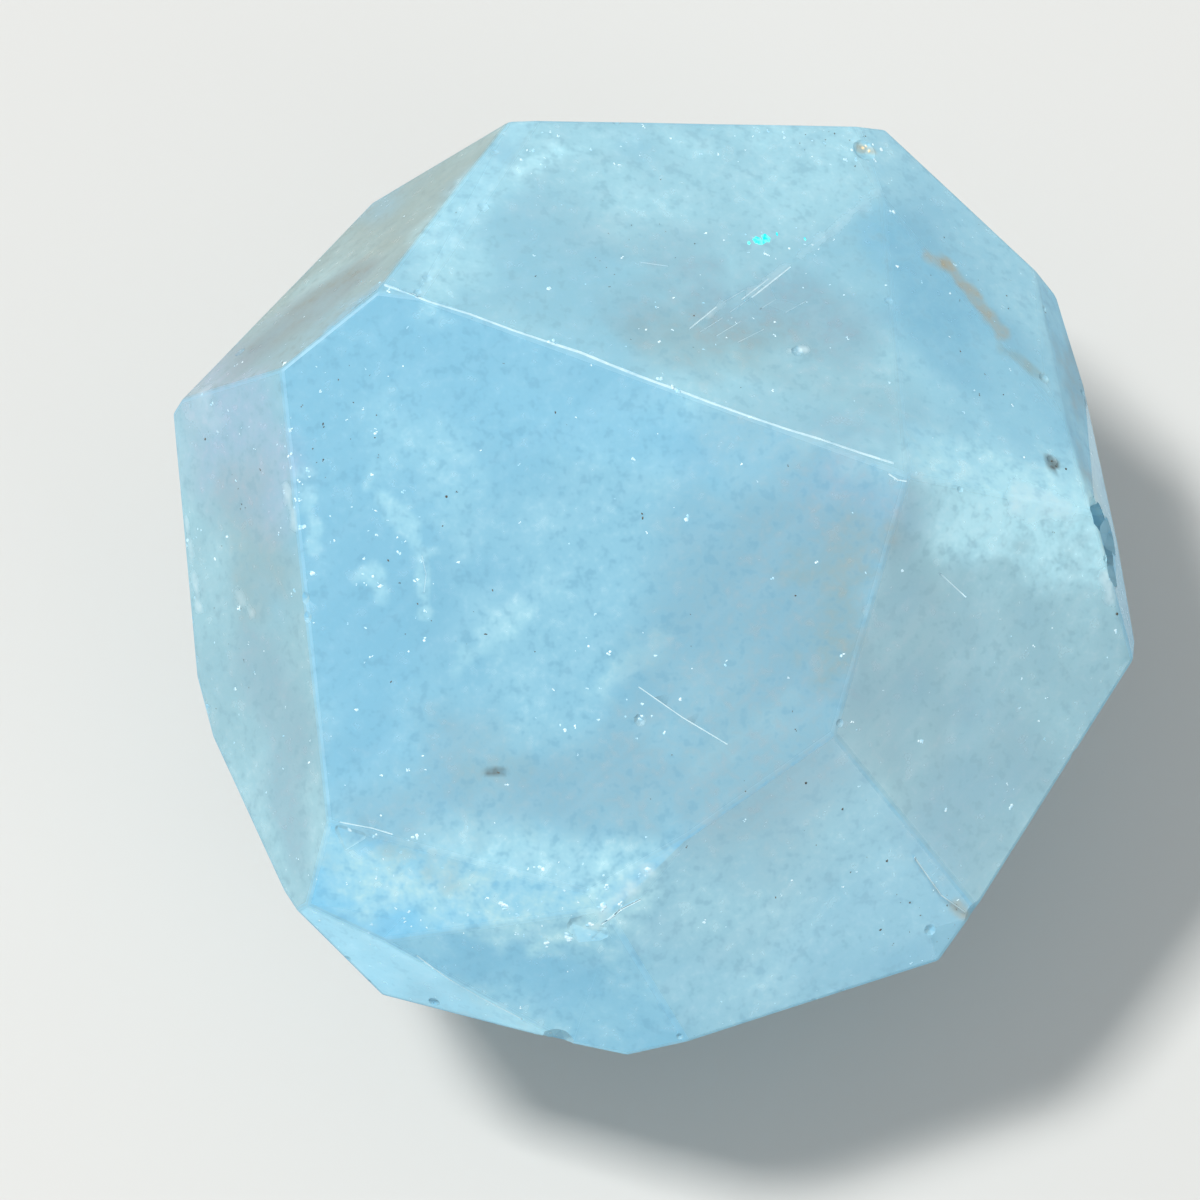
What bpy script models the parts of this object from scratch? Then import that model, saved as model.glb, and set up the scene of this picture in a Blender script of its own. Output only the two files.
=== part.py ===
"""Aquamarine crystal: a hand-cut, drilled nugget of milky pale blue beryl, lying on its base facet.

The stone is cut the way a lapidary cuts it. A rough block is held by its table, the large
front facet, and every other facet is ground at a bearing round the table, at a slope away
from it, and down to a depth from the stone's middle. The worn edges are then rounded, the
string hole is drilled, and the small chips are broken out. Last, the stone is tipped over
until its base facet lies flat on z = 0.
"""
import math
from dataclasses import dataclass

import bmesh
import bpy
from mathutils import Matrix, Vector

MM = 0.001

# Driving dimensions, in millimetres and degrees
STONE_NAME = "aquamarine_crystal"
ROUGH_BLOCK = 40.0
TABLE_HEIGHT = 8.0
BASE_DEPTH = 7.0
TABLE_TILT = 20.0
EDGE_WEAR = 0.2
EDGE_WEAR_STEPS = 2
SHORTEST_EDGE = 0.12
HOLE_DIAMETER = 1.7
HOLE_SIDES = 20
HOLE_OVERRUN = 2.0
CHIP_ROUNDS = 2

# The string hole's two mouths, in the cutting frame: table level, stone's middle at zero
HOLE_RIGHT_MOUTH = Vector((12.1, 1.4, 4.3))
HOLE_LEFT_MOUTH = Vector((-11.3, 6.2, -0.8))

# Colour and polish of the beryl
BERYL_COLOUR = (0.42, 0.68, 0.76, 1.0)
BERYL_ROUGHNESS = 0.3
BERYL_REFRACTION = 1.57
BERYL_TRANSMISSION = 0.8


@dataclass(frozen=True)
class Facet:
    """A flat ground on the stone.

    bearing: degrees clockwise from the table's upper side, seen from the front
    slope: degrees between the facet's face and the table's face
    depth: millimetres from the stone's middle to the facet
    """

    name: str
    bearing: float
    slope: float
    depth: float

    def normal(self):
        """Outward direction of the facet in the cutting frame."""
        bearing = math.radians(self.bearing)
        slope = math.radians(self.slope)
        across = math.sin(slope)
        return Vector((across * math.sin(bearing), across * math.cos(bearing), math.cos(slope)))


@dataclass(frozen=True)
class Chip:
    """A shallow shell-shaped break.

    place: its middle on the unbroken surface, in millimetres
    bearing, slope: the way it faces, measured as a facet's
    spread: radius of the ball that breaks it out, in millimetres
    bite: how deep it goes, in millimetres
    """

    name: str
    place: tuple
    bearing: float
    slope: float
    spread: float
    bite: float


# The front: the table and the facets that slope away from it
CROWN = [
    Facet("table", 0, 0, TABLE_HEIGHT),
    Facet("top", 20, 37, 9.4),
    Facet("top_left_corner", 7, 39, 10.5),
    Facet("upper_right", 41, 44, 10.3),
    Facet("far_right", 43, 50, 10.9),
    Facet("right", 106, 26, 9.6),
    Facet("lower_right", 145, 22, 9.6),
    Facet("sliver", 150, 15, 9.3),
    Facet("bottom", 190, 28, 11.0),
    Facet("lower_left", 195, 23, 10.6),
    Facet("bottom_left_corner", 202, 53, 13.3),
    Facet("left", 264, 49, 12.3),
]

# The steep walls round the outline, clockwise from the top
WALLS = [
    Facet("wall_top", 358, 96, 12.4),
    Facet("wall_upper_right", 43, 97, 13.5),
    Facet("wall_right_high", 62, 65, 12.5),
    Facet("wall_right_back", 84, 92, 12.7),
    Facet("wall_right_low", 77, 77, 12.8),
    Facet("wall_right_low_back", 79, 95, 12.5),
    Facet("wall_lower_right", 124, 96, 11.3),
    Facet("wall_bottom", 164, 100, 10.7),
    Facet("wall_bottom_left", 192, 97, 11.7),
    Facet("wall_left_corner", 231, 96, 12.2),
    Facet("wall_left_low", 241, 96, 12.0),
    Facet("wall_left_middle", 253, 97, 12.1),
    Facet("wall_left", 265, 98, 12.0),
    Facet("wall_upper_left_back", 310, 95, 12.7),
    Facet("wall_upper_left", 321, 69, 12.9),
    Facet("wall_top_left_back", 335, 97, 12.7),
]

# The back: the base facet that the stone lies on, and the ring of facets up to the walls
BACK = [
    Facet("base", 180, 180 - TABLE_TILT, BASE_DEPTH),
    Facet("back_top", 4, 142, 9.4),
    Facet("back_top_right", 58, 134, 9.9),
    Facet("back_right", 100, 131, 9.4),
    Facet("back_lower_right", 146, 124, 9.6),
    Facet("back_bottom", 196, 119, 9.7),
    Facet("back_lower_left", 241, 128, 9.5),
    Facet("back_left", 283, 133, 10.2),
    Facet("back_top_left", 331, 138, 9.5),
]

CHIPS = [
    Chip("hole_rim_upper", (11.9, 2.0, 4.9), 77, 60, 0.7, 0.3),
    Chip("hole_rim_lower", (12.2, 0.5, 4.5), 77, 75, 0.7, 0.25),
    Chip("hole_rim_back", (12.3, 1.4, 3.4), 80, 95, 0.7, 0.25),
    Chip("hole_left_rim_high", (-11.4, 6.3, 0.1), 310, 90, 0.8, 0.25),
    Chip("hole_left_rim_side", (-10.8, 6.9, -0.8), 315, 100, 0.7, 0.2),
    Chip("top_pit", (5.8, 12.1, 1.7), 20, 37, 0.5, 0.2),
    Chip("right_corner", (11.1, 8.4, 0.7), 50, 70, 0.6, 0.3),
    Chip("bottom_edge", (-2.7, -12.1, 5.8), 192, 70, 0.5, 0.25),
    Chip("lower_right_edge", (8.5, -8.7, 5.5), 130, 60, 0.8, 0.15),
    Chip("crackle_right", (-1.9, -9.2, 7.5), 195, 23, 1.6, 0.16),
    Chip("crackle_middle", (-3.8, -8.4, 7.7), 195, 23, 2.4, 0.12),
    Chip("crackle_left", (-5.9, -8.9, 7.3), 195, 23, 2.0, 0.15),
    Chip("crackle_corner", (-8.2, -6.7, 7.9), 200, 15, 1.2, 0.12),
    Chip("back_edge_top", (2.3, 12.3, -2.2), 2, 120, 1.6, 0.25),
    Chip("back_edge_right", (8.6, -7.4, -0.9), 132, 112, 1.2, 0.2),
    Chip("back_edge_left", (-12.0, 1.5, -2.0), 272, 115, 1.4, 0.2),
]


def stone_material():
    """Milky, see-through beryl."""
    material = bpy.data.materials.new("beryl")
    material.use_nodes = True
    shader = material.node_tree.nodes["Principled BSDF"]
    shader.inputs["Base Color"].default_value = BERYL_COLOUR
    shader.inputs["Roughness"].default_value = BERYL_ROUGHNESS
    shader.inputs["Metallic"].default_value = 0.0
    shader.inputs["IOR"].default_value = BERYL_REFRACTION
    shader.inputs["Transmission Weight"].default_value = BERYL_TRANSMISSION
    return material


def new_collection(name):
    """An empty collection linked to the scene."""
    collection = bpy.data.collections.new(name)
    bpy.context.scene.collection.children.link(collection)
    return collection


def new_object(name, mesh, collection):
    """An object for a bmesh, which is used up."""
    data = bpy.data.meshes.new(name)
    mesh.to_mesh(data)
    mesh.free()
    made = bpy.data.objects.new(name, data)
    collection.objects.link(made)
    return made


def grind(stone, facet):
    """Grind one facet: cut the stone by its plane and close the cut."""
    normal = facet.normal()
    whole = stone.verts[:] + stone.edges[:] + stone.faces[:]
    cut = bmesh.ops.bisect_plane(
        stone, geom=whole, dist=1e-4, plane_co=normal * facet.depth, plane_no=normal, clear_outer=True)
    rim = [part for part in cut["geom_cut"] if isinstance(part, bmesh.types.BMEdge)]
    if not rim:
        raise ValueError(f"facet {facet.name} misses the stone")
    bmesh.ops.contextual_create(stone, geom=rim)


def cut_stone():
    """The faceted stone in the cutting frame, in millimetres, with its edges worn round."""
    stone = bmesh.new()
    bmesh.ops.create_cube(stone, size=ROUGH_BLOCK)
    for facet in CROWN + WALLS + BACK:
        grind(stone, facet)
    bmesh.ops.remove_doubles(stone, verts=stone.verts[:], dist=SHORTEST_EDGE)
    bmesh.ops.bevel(
        stone, geom=stone.edges[:], offset=EDGE_WEAR, offset_type="OFFSET", segments=EDGE_WEAR_STEPS,
        profile=0.5, affect="EDGES", clamp_overlap=True, material=-1)
    bmesh.ops.recalc_face_normals(stone, faces=stone.faces[:])
    return stone


def drill():
    """The bar that drills the string hole from wall to wall."""
    along = HOLE_LEFT_MOUTH - HOLE_RIGHT_MOUTH
    place = Matrix.Translation((HOLE_LEFT_MOUTH + HOLE_RIGHT_MOUTH) / 2)
    turn = along.to_track_quat("Z", "Y").to_matrix().to_4x4()
    bar = bmesh.new()
    bmesh.ops.create_cone(
        bar, cap_ends=True, segments=HOLE_SIDES, radius1=HOLE_DIAMETER / 2, radius2=HOLE_DIAMETER / 2,
        depth=along.length + 2 * HOLE_OVERRUN, matrix=place @ turn)
    return bar


def chip_ball(chip):
    """The ball that breaks out one chip."""
    facing = Facet(chip.name, chip.bearing, chip.slope, 0.0).normal()
    middle = Vector(chip.place) + facing * (chip.spread - chip.bite)
    ball = bmesh.new()
    bmesh.ops.create_icosphere(
        ball, subdivisions=CHIP_ROUNDS, radius=chip.spread, matrix=Matrix.Translation(middle))
    return ball


def resting_place(stone):
    """Tips the cut stone onto its base facet and centres it over the origin, in metres."""
    tip = Matrix.Scale(MM, 4) @ Matrix.Rotation(math.radians(TABLE_TILT), 4, "X")
    corners = [tip @ vert.co for vert in stone.verts]
    low = Vector(min(corner[axis] for corner in corners) for axis in range(3))
    high = Vector(max(corner[axis] for corner in corners) for axis in range(3))
    lift = Matrix.Translation((-(low.x + high.x) / 2, -(low.y + high.y) / 2, -low.z))
    return lift @ tip


def subtract(stone, cutter):
    """Leaves a live Boolean on the stone that takes the cutter away."""
    modifier = stone.modifiers.new(cutter.name, "BOOLEAN")
    modifier.operation = "DIFFERENCE"
    modifier.solver = "EXACT"
    modifier.object = cutter


def build():
    """Make the stone and its cutters."""
    for old in list(bpy.data.objects):
        bpy.data.objects.remove(old)
    parts = new_collection("aquamarine crystal")
    cutters = new_collection("cutters")

    stone_mesh = cut_stone()
    place = resting_place(stone_mesh)
    bmesh.ops.transform(stone_mesh, matrix=place, verts=stone_mesh.verts[:])
    stone = new_object(STONE_NAME, stone_mesh, parts)
    stone.data.materials.append(stone_material())

    cutter_meshes = {"string_hole": drill()}
    for chip in CHIPS:
        cutter_meshes["chip_" + chip.name] = chip_ball(chip)
    for name, mesh in cutter_meshes.items():
        bmesh.ops.transform(mesh, matrix=place, verts=mesh.verts[:])
        cutter = new_object(name, mesh, cutters)
        cutter.hide_render = True
        cutter.display_type = "WIRE"
        subtract(stone, cutter)


build()
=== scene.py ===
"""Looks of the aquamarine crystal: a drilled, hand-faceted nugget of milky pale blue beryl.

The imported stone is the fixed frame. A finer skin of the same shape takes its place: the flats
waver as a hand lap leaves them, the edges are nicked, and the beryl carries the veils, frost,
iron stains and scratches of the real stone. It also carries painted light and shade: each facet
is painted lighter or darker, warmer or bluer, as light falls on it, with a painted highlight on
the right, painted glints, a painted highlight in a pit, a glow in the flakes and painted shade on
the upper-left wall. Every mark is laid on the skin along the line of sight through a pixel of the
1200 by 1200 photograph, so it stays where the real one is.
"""
from __future__ import annotations

import logging
import math
import random
from dataclasses import dataclass, field
from enum import Enum

import bmesh
import bpy
import numpy as np
from mathutils import Matrix, Vector, noise
from mathutils.bvhtree import BVHTree


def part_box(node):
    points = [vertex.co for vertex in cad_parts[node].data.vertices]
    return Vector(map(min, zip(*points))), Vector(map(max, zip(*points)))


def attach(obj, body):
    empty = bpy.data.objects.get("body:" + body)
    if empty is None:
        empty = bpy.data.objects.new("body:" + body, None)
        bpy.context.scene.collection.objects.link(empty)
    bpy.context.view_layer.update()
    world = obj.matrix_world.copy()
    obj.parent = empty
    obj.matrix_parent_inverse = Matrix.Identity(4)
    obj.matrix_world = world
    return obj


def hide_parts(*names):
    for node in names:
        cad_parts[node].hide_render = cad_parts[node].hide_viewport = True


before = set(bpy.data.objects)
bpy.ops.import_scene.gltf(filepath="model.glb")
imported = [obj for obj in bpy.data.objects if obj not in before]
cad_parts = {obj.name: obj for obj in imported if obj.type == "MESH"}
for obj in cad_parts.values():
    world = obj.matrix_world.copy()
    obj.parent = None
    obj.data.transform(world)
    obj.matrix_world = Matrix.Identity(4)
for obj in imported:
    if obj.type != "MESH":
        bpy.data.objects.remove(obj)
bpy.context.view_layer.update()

LOG = logging.getLogger("aquamarine_crystal")

MM = 0.001
STONE_NODE = "aquamarine_crystal"
ROOT_BODY = "root"

Colour = tuple[float, float, float]
Pixel = tuple[float, float]

# Marks narrower than this need the fine mesh, and lines thinner than this stay faint, in millimetres
FINE_MARK = 0.62
SCRATCH_WIDTH = 0.013

# The bar that cuts a line: how far its middle stands above the surface, in bar radii, and its sides
GROOVE_RISE = 0.35
GROOVE_SIDES = 5

# How much of a facet's warmth is taken out of its blue
COOLING = 0.55


def srgb(red: int, green: int, blue: int) -> Colour:
    """Turn a screen colour, 0 to 255 a channel, into the shader's linear colour.

    Args:
        red: Red as shown on a screen.
        green: Green as shown on a screen.
        blue: Blue as shown on a screen.

    Returns:
        The linear colour.
    """
    def linear(level: int) -> float:
        share = level / 255
        return share / 12.92 if share <= 0.04045 else ((share + 0.055) / 1.055) ** 2.4

    return linear(red), linear(green), linear(blue)


# The camera and the line of sight through the photograph


@dataclass(frozen=True)
class PhotoView:
    """The camera of the photograph, placed against the stone's table facet.

    The table faces the camera squarely, so the view is held in the table's own frame: right,
    up along the table, and out of it towards the camera. Lengths are in metres.
    """

    stone_middle: Vector = Vector((0.055, 0.714, 7.0)) * MM
    table_tilt: float = 20.0
    sight_right: float = -1.57 * MM
    sight_up: float = -0.36 * MM
    distance: float = 140.0 * MM
    lens: float = 150.0
    sensor: float = 36.0
    frame_pixels: int = 1200

    def table_frame(self) -> Matrix:
        """Return the matrix from the table's frame to the stone's."""
        return Matrix.Translation(self.stone_middle) @ Matrix.Rotation(math.radians(self.table_tilt), 4, "X")

    def eye(self) -> Vector:
        """Return where the camera stands."""
        return self.table_frame() @ Vector((self.sight_right, self.sight_up, self.distance))

    def ray(self, pixel: Pixel) -> Vector:
        """Return the direction from the eye through a pixel of the photograph.

        Args:
            pixel: Column and row in the 1200 by 1200 frame.

        Returns:
            The direction, of length one.
        """
        half = self.frame_pixels / 2
        reach = self.lens / self.sensor * self.frame_pixels
        away = Vector((pixel[0] - half, half - pixel[1], -reach))
        return (self.table_frame().to_3x3() @ away).normalized()

    def build(self) -> bpy.types.Object:
        """Make the camera the scene is seen by.

        Returns:
            The camera object.
        """
        camera = bpy.data.objects.new("camera", bpy.data.cameras.new("camera"))
        camera.data.lens = self.lens
        camera.data.sensor_width = self.sensor
        camera.data.clip_start = 5 * MM
        camera.data.clip_end = 10.0
        camera.matrix_world = Matrix.Translation(self.eye()) @ self.table_frame().to_3x3().to_4x4()
        bpy.context.scene.collection.objects.link(camera)
        bpy.context.scene.camera = camera
        return camera


@dataclass
class Sight:
    """Finds where the line of sight through a pixel first meets the stone."""

    view: PhotoView
    skin: BVHTree
    middle: Pixel = (640.0, 590.0)
    slide: float = 2.0
    tries: int = 7

    def hit(self, pixel: Pixel) -> tuple[Vector, Vector]:
        """Cast a pixel's line of sight onto the stone, moved inward a little where it just misses.

        Args:
            pixel: Column and row in the 1200 by 1200 frame.

        Returns:
            The point on the stone and the stone's outward normal there.

        Raises:
            ValueError: When the line misses the stone.
        """
        aim = Vector(pixel)
        inward = (Vector(self.middle) - aim).normalized() * self.slide
        for _ in range(self.tries):
            place, normal, _, _ = self.skin.ray_cast(self.view.eye(), self.view.ray(aim))
            if place is not None:
                return place, normal
            aim = aim + inward
        raise ValueError(f"the line of sight through {pixel} misses the stone")

    def sees(self, pixel: Pixel) -> bool:
        """Tell whether a pixel's line of sight meets the stone."""
        return self.skin.ray_cast(self.view.eye(), self.view.ray(pixel))[0] is not None


# Shader graphs


class Graph:
    """Adds nodes to a shader tree in few words."""

    def __init__(self, tree: bpy.types.NodeTree) -> None:
        """Take the tree that nodes are added to."""
        self.tree = tree

    def node(self, kind: str, **settings: object) -> bpy.types.Node:
        """Add a node and set its properties.

        Args:
            kind: The node's type name.
            **settings: Property values by name.

        Returns:
            The node.
        """
        made = self.tree.nodes.new(kind)
        for name, value in settings.items():
            setattr(made, name, value)
        return made

    def feed(self, socket: bpy.types.NodeSocket, value: object) -> None:
        """Link a socket to another, or give it a plain value.

        Args:
            socket: The input.
            value: An output socket or a plain value.
        """
        if isinstance(value, bpy.types.NodeSocket):
            self.tree.links.new(value, socket)
        elif value is not None:
            if socket.type == "RGBA" and len(value) == 3:
                value = (*value, 1.0)
            socket.default_value = value

    def math(self, operation: str, first: object, second: object = None, third: object = None,
             clamp: bool = False) -> bpy.types.NodeSocket:
        """Add a Math node.

        Args:
            operation: The sum it does.
            first: First input.
            second: Second input.
            third: Third input.
            clamp: Keep the result between 0 and 1.

        Returns:
            The result.
        """
        made = self.node("ShaderNodeMath", operation=operation, use_clamp=clamp)
        for socket, value in zip(made.inputs, (first, second, third)):
            self.feed(socket, value)
        return made.outputs[0]

    def scaled(self, vector: object, factor: float) -> bpy.types.NodeSocket:
        """Scale a vector.

        Args:
            vector: The vector.
            factor: What it is multiplied by.

        Returns:
            The scaled vector.
        """
        made = self.node("ShaderNodeVectorMath", operation="SCALE")
        self.feed(made.inputs[0], vector)
        self.feed(made.inputs["Scale"], factor)
        return made.outputs["Vector"]

    def span(self, value: object, low: object, high: object) -> bpy.types.NodeSocket:
        """Map a range of a value onto 0 to 1, eased and clamped.

        Args:
            value: The input.
            low: Start of the range.
            high: End of the range.

        Returns:
            The result.
        """
        made = self.node("ShaderNodeMapRange", interpolation_type="SMOOTHSTEP")
        for socket, fed in zip(made.inputs, (value, low, high)):
            self.feed(socket, fed)
        return made.outputs[0]

    def mix(self, factor: object, first: object, second: object, blend: str = "MIX") -> bpy.types.NodeSocket:
        """Mix two colours.

        Args:
            factor: Share of the second.
            first: First colour.
            second: Second colour.
            blend: The way they are mixed.

        Returns:
            The mixed colour.
        """
        made = self.node("ShaderNodeMix", data_type="RGBA", blend_type=blend, clamp_factor=True)
        self.feed(made.inputs["Factor"], factor)
        self.feed(made.inputs[6], first)
        self.feed(made.inputs[7], second)
        return made.outputs[2]

    def noise(self, position: object, size: float, detail: float, roughness: float) -> bpy.types.NodeSocket:
        """Add noise whose patches are about a size across, in the position's own unit.

        Args:
            position: Where it is read.
            size: Size of a patch.
            detail: Number of finer layers.
            roughness: Share of each finer layer.

        Returns:
            The value, about 0.5 on average.
        """
        made = self.node("ShaderNodeTexNoise", noise_dimensions="3D")
        self.feed(made.inputs["Vector"], position)
        self.feed(made.inputs["Scale"], 1.0 / size)
        self.feed(made.inputs["Detail"], detail)
        self.feed(made.inputs["Roughness"], roughness)
        return made.outputs["Fac"]


class GroupKind(Enum):
    """The effects that are built once as node groups."""

    MOTTLE = "mottle"
    STAIN = "stain"


@dataclass(frozen=True)
class Socket:
    """A named socket of a node group."""

    name: str
    kind: str
    value: object = None


def new_group(name: str, inputs: list[Socket], outputs: list[Socket]) -> tuple[Graph, dict, bpy.types.Node]:
    """Start a node group.

    Args:
        name: The group's name.
        inputs: Its inputs.
        outputs: Its outputs.

    Returns:
        The graph, the inputs by name, and the output node.
    """
    tree = bpy.data.node_groups.new(name, "ShaderNodeTree")
    for in_out, sockets in (("INPUT", inputs), ("OUTPUT", outputs)):
        for socket in sockets:
            kind = "NodeSocket" + socket.kind
            made = tree.interface.new_socket(name=socket.name, in_out=in_out, socket_type=kind)
            if socket.value is not None:
                made.default_value = socket.value
    graph = Graph(tree)
    entry = graph.node("NodeGroupInput")
    leave = graph.node("NodeGroupOutput")
    return graph, entry.outputs, leave


def stain_group() -> bpy.types.NodeTree:
    """Make the group that lays a stain over a colour, thinned and thickened by fine grain.

    Returns:
        The node group. Grain is noise about zero.
    """
    inputs = [
        Socket("Colour", "Color"), Socket("Stain", "Color"), Socket("Amount", "Float", 0.0),
        Socket("Grain", "Float", 0.0), Socket("Raggedness", "Float", 2.0),
    ]
    graph, entry, leave = new_group(GroupKind.STAIN.value, inputs, [Socket("Result", "Color")])
    uneven = graph.math("MULTIPLY_ADD", entry["Grain"], entry["Raggedness"], 1.0)
    amount = graph.math("MULTIPLY", entry["Amount"], uneven, clamp=True)
    graph.feed(leave.inputs["Result"], graph.mix(amount, entry["Colour"], entry["Stain"]))
    return graph.tree


def mottle_group() -> bpy.types.NodeTree:
    """Make the group that blends two colours in cloudy patches.

    Returns:
        The node group. Lengths are in millimetres.
    """
    inputs = [
        Socket("Position", "Vector"), Socket("Size", "Float", 1.0), Socket("First", "Color"),
        Socket("Second", "Color"), Socket("Low", "Float", 0.35), Socket("High", "Float", 0.65),
    ]
    graph, entry, leave = new_group(GroupKind.MOTTLE.value, inputs, [Socket("Result", "Color")])
    cloud = graph.node("ShaderNodeTexNoise", noise_dimensions="3D")
    graph.feed(cloud.inputs["Vector"], entry["Position"])
    graph.feed(cloud.inputs["Scale"], graph.math("DIVIDE", 1.0, entry["Size"]))
    cloud.inputs["Detail"].default_value = 3.0
    share = graph.span(cloud.outputs["Fac"], entry["Low"], entry["High"])
    graph.feed(leave.inputs["Result"], graph.mix(share, entry["First"], entry["Second"]))
    return graph.tree


class Groups:
    """Makes each node group the first time it is asked for."""

    makers = {GroupKind.MOTTLE: mottle_group, GroupKind.STAIN: stain_group}

    def __init__(self) -> None:
        """Start with no group made."""
        self.made: dict[GroupKind, bpy.types.NodeTree] = {}

    def place(self, graph: Graph, kind: GroupKind, **values: object) -> bpy.types.NodeSocket:
        """Put a group into a graph with its own values.

        Args:
            graph: Where it goes.
            kind: Which group.
            **values: Input values by the input's name in small letters.

        Returns:
            The group's result.
        """
        if kind not in self.made:
            self.made[kind] = self.makers[kind]()
        made = graph.node("ShaderNodeGroup", node_tree=self.made[kind])
        for name, value in values.items():
            graph.feed(made.inputs[name.title()], value)
        return made.outputs["Result"]


# The marks on the stone


class Stain(Enum):
    """What a mark is made of, in the order that the marks are laid down. A few marks are painted light: a
    painted highlight among the white breaks, and painted shade on the upper-left wall among the haze, the
    brown-green cloud and the dark grain.
    """

    DEEP = "clearer, bluer beryl"
    VEIL = "milky veil"
    HAZE_AND_SHADE = "grey haze"
    LAVENDER = "lavender haze"
    OLIVE_AND_SHADE = "brown-green cloud"
    IRON = "iron stain"
    FROST_AND_HIGHLIGHT = "white break"
    DIRT_AND_SHADE = "dark grain"


@dataclass(frozen=True)
class Mark:
    """One mark, drawn along a path of pixels of the photograph.

    Width is half of its solid middle and soft is its fading rim, both in millimetres.
    """

    stain: Stain
    path: tuple[Pixel, ...]
    width: float
    soft: float
    strength: float
    ragged: float = 0.0

    def is_fine(self) -> bool:
        """Tell whether the mark needs the fine mesh."""
        return self.width + self.soft < FINE_MARK


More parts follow.
